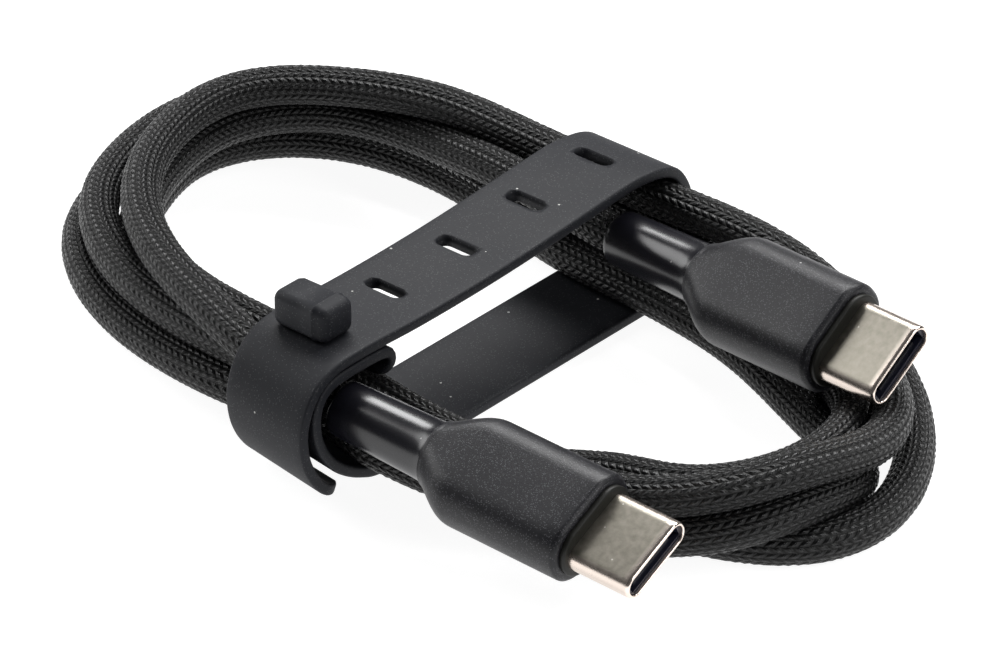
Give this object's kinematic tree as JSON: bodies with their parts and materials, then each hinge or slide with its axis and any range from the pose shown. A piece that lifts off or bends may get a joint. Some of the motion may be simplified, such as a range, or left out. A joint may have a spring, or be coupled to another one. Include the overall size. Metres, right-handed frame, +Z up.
{
  "type": "charging cable",
  "caption": "Braided charging cable with a reversible oval plug at each end, wound into a flat oval hank and held by a buttoned silicone strap.",
  "frame": {"origin": "middle of the outline, on the surface that the hank lies on", "axes": "+X along the hank towards the mouths of the plugs, +Y from the near side to the far side, +Z up"},
  "size_m": [0.0938, 0.0536, 0.0178],
  "materials": {
    "silicone_strap": "matte silicone",
    "braided_cable": "fine black nylon braid",
    "nickel_shell": "satin nickel plate",
    "housing_plastic": "black",
    "contact_metal": "gold plated",
    "spring_steel": "bright",
    "board_laminate": "green solder mask",
    "chip_resin": "black resin",
    "conductor_insulation": "coloured insulation",
    "ferrule_brass": "plain",
    "grip_plastic": "matte black with a fine sparkle",
    "collar_plastic": "matte black",
    "sleeve_gloss": "glossy black"
  },
  "bodies": {
    "root": {"strap_band": "silicone_strap", "cable_hank": "braided_cable", "near_lead": "braided_cable", "far_lead": "braided_cable", "near_plug_shell": "nickel_shell", "near_contact_housing": "housing_plastic", "near_upper_contacts": "contact_metal", "near_lower_contacts": "contact_metal", "near_latch_plate": "spring_steel", "near_ground_springs": "spring_steel", "near_circuit_board": "board_laminate", "near_control_chip": "chip_resin", "near_board_shield": "spring_steel", "near_conductors": "conductor_insulation", "near_crimp_ferrule": "ferrule_brass", "near_plug_grip": "grip_plastic", "near_front_collar": "collar_plastic", "near_strain_relief": "sleeve_gloss", "far_plug_shell": "nickel_shell", "far_contact_housing": "housing_plastic", "far_upper_contacts": "contact_metal", "far_lower_contacts": "contact_metal", "far_latch_plate": "spring_steel", "far_ground_springs": "spring_steel", "far_circuit_board": "board_laminate", "far_control_chip": "chip_resin", "far_board_shield": "spring_steel", "far_conductors": "conductor_insulation", "far_crimp_ferrule": "ferrule_brass", "far_plug_grip": "grip_plastic", "far_front_collar": "collar_plastic", "far_strain_relief": "sleeve_gloss"}
  },
  "joints": []
}
